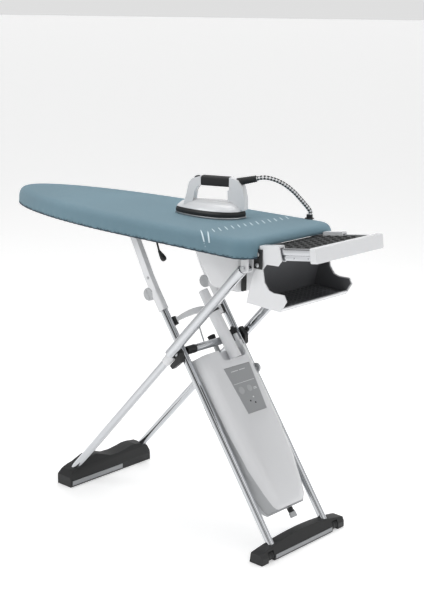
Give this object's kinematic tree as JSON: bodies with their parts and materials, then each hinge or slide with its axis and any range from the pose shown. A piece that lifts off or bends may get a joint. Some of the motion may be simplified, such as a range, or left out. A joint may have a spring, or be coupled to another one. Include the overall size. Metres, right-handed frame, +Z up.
{
  "type": "steam ironing board system",
  "caption": "Steam ironing board on folding crossed tube legs, with a steam generator between the legs, fan, storage bin, pull-out iron rest and tethered steam iron.",
  "frame": {"origin": "on the floor below the middle of the bounding box", "axes": "+X along the board's length from the nose to the tail with the iron rest; +Y across the board, away from the side with the release lever; +Z up"},
  "size_m": [1.3792, 0.42, 1.0663],
  "materials": {
    "cover_fabric": "matte",
    "felt_white": "matte",
    "brushed_steel": "satin",
    "white_plastic": "gloss",
    "grey_plastic": "satin",
    "black_plastic": "satin",
    "black_rubber": "matte",
    "chrome_tube": "gloss",
    "brass_boiler": "satin",
    "silver_plastic": "satin",
    "hose_braid": "matte"
  },
  "bodies": {
    "board": {"board_cover": "cover_fabric", "board_pad": "felt_white", "board_deck": "brushed_steel", "fan_housing": "white_plastic", "fan_motor": "brushed_steel", "hose_socket": "black_plastic", "runner_rail_near": "brushed_steel", "runner_rail_far": "brushed_steel", "tail_bracket_near": "white_plastic", "tail_bracket_far": "white_plastic", "compartment_shell": "white_plastic", "compartment_liner": "black_plastic", "steam_hose": "hose_braid"},
    "iron_rest": {"tray_bar": "white_plastic", "tray_plate": "black_plastic", "tray_mat": "black_rubber", "tray_rail_near": "chrome_tube", "tray_rail_far": "chrome_tube"},
    "front_leg": {"leg_b_tube_near": "chrome_tube", "leg_b_tube_far": "chrome_tube", "leg_b_thin_tube_near": "chrome_tube", "leg_b_thin_tube_far": "chrome_tube", "pivot_block_near": "black_plastic", "pivot_block_far": "black_plastic", "foot_b": "black_plastic"},
    "rear_leg": {"leg_a_tube_near": "chrome_tube", "leg_a_tube_far": "chrome_tube", "leg_a_arm_near": "white_plastic", "leg_a_arm_far": "white_plastic", "knuckle_disc_near": "grey_plastic", "knuckle_disc_far": "grey_plastic", "runner_rod": "brushed_steel", "crossing_axle": "chrome_tube", "arched_crossmember": "white_plastic", "generator_front_shell": "white_plastic", "generator_rear_shell": "grey_plastic", "control_panel": "silver_plastic", "boiler": "brass_boiler", "water_tank": "felt_white", "steam_duct": "white_plastic", "foot_a": "black_plastic"},
    "iron": {"iron_soleplate": "brushed_steel", "iron_heat_band": "black_plastic", "iron_body": "white_plastic", "iron_handle": "white_plastic", "iron_grip": "black_rubber", "hose_boot": "black_rubber"},
    "fan_impeller_body": {"fan_impeller": "black_plastic"},
    "release_lever_body": {"release_lever": "black_plastic"},
    "roller_near_body": {"roller_near": "black_rubber"},
    "roller_far_body": {"roller_far": "black_rubber"},
    "runner_wheel_near_body": {"runner_wheel_near": "black_plastic"},
    "runner_wheel_far_body": {"runner_wheel_far": "black_plastic"},
    "power_button_body": {"power_button": "silver_plastic"},
    "steam_button_body": {"steam_button": "silver_plastic"},
    "side_switch_body": {"side_switch": "silver_plastic"},
    "filler_cap_left_body": {"filler_cap_left": "black_plastic"},
    "filler_cap_right_body": {"filler_cap_right": "black_plastic"},
    "drain_cap_body": {"drain_cap": "black_plastic"},
    "iron_steam_button_body": {"iron_steam_button": "black_plastic"}
  },
  "joints": [
    {"name": "front_leg_fold", "type": "hinge", "parent": "board", "child": "front_leg", "pos_m": [0.46104, 0, 0.85189], "axis": [0, 1, 0], "range_deg": [0, 28]},
    {"name": "rear_leg_fold", "type": "hinge", "parent": "front_leg", "child": "rear_leg", "pos_m": [0.17601, 0, 0.543], "axis": [0, 1, 0], "range_deg": [-60.48, 0]},
    {"name": "iron_rest_slide", "type": "slide", "parent": "board", "child": "iron_rest", "axis": [0.991, 0, 0.134], "range_m": [-0.08, 0]},
    {"name": "release_lever_pivot", "type": "hinge", "parent": "board", "child": "release_lever_body", "pos_m": [0.03041, -0.1, 0.884], "axis": [0, 1, 0], "range_deg": [-18, 0]},
    {"name": "fan_spin", "type": "hinge", "parent": "board", "child": "fan_impeller_body", "pos_m": [0.31241, 0, 0.79], "axis": [0, 0, 1], "continuous": true},
    {"name": "iron_lift", "type": "slide", "parent": "board", "child": "iron", "axis": [-0.2782, -0.1124, 0.9539], "range_m": [0, 0.03]},
    {"name": "iron_steam_button_press", "type": "slide", "parent": "iron", "child": "iron_steam_button_body", "axis": [0.2932, 0.1185, -0.9487], "range_m": [0, 0.0015], "stiffness_N_per_m": 900, "springref_m": -0.0005},
    {"name": "roller_near_spin", "type": "hinge", "parent": "rear_leg", "child": "roller_near_body", "pos_m": [0.54741, -0.15, 0.015], "axis": [0, 1, 0], "continuous": true},
    {"name": "roller_far_spin", "type": "hinge", "parent": "rear_leg", "child": "roller_far_body", "pos_m": [0.54741, 0.15, 0.015], "axis": [0, 1, 0], "continuous": true},
    {"name": "runner_wheel_near_spin", "type": "hinge", "parent": "rear_leg", "child": "runner_wheel_near_body", "pos_m": [-0.04452, -0.0725, 0.89015], "axis": [0, 1, 0], "continuous": true},
    {"name": "runner_wheel_far_spin", "type": "hinge", "parent": "rear_leg", "child": "runner_wheel_far_body", "pos_m": [-0.04452, 0.0725, 0.89015], "axis": [0, 1, 0], "continuous": true},
    {"name": "power_button_press", "type": "slide", "parent": "rear_leg", "child": "power_button_body", "axis": [-0.8171, 0, -0.5764], "range_m": [0, 0.0015], "stiffness_N_per_m": 900, "springref_m": -0.0005},
    {"name": "steam_button_press", "type": "slide", "parent": "rear_leg", "child": "steam_button_body", "axis": [-0.8171, 0, -0.5764], "range_m": [0, 0.0015], "stiffness_N_per_m": 900, "springref_m": -0.0005},
    {"name": "side_switch_turn", "type": "hinge", "parent": "rear_leg", "child": "side_switch_body", "pos_m": [0.2661, 0.1, 0.46214], "axis": [0, 1, 0], "range_deg": [-45, 45]},
    {"name": "filler_cap_left_turn", "type": "hinge", "parent": "rear_leg", "child": "filler_cap_left_body", "pos_m": [0.15395, 0.042, 0.52744], "axis": [-0.5764, 0, 0.8171], "range_deg": [0, 180]},
    {"name": "filler_cap_right_turn", "type": "hinge", "parent": "rear_leg", "child": "filler_cap_right_body", "pos_m": [0.20053, 0.083, 0.56029], "axis": [-0.5764, 0, 0.8171], "range_deg": [0, 180]},
    {"name": "drain_cap_turn", "type": "hinge", "parent": "rear_leg", "child": "drain_cap_body", "pos_m": [0.17601, 0.012, 0.543], "axis": [-0.5764, 0, 0.8171], "range_deg": [0, 90]}
  ],
  "couplings": [
    {"joint": "rear_leg_fold", "follows": "front_leg_fold", "ratio": -2.16}
  ]
}
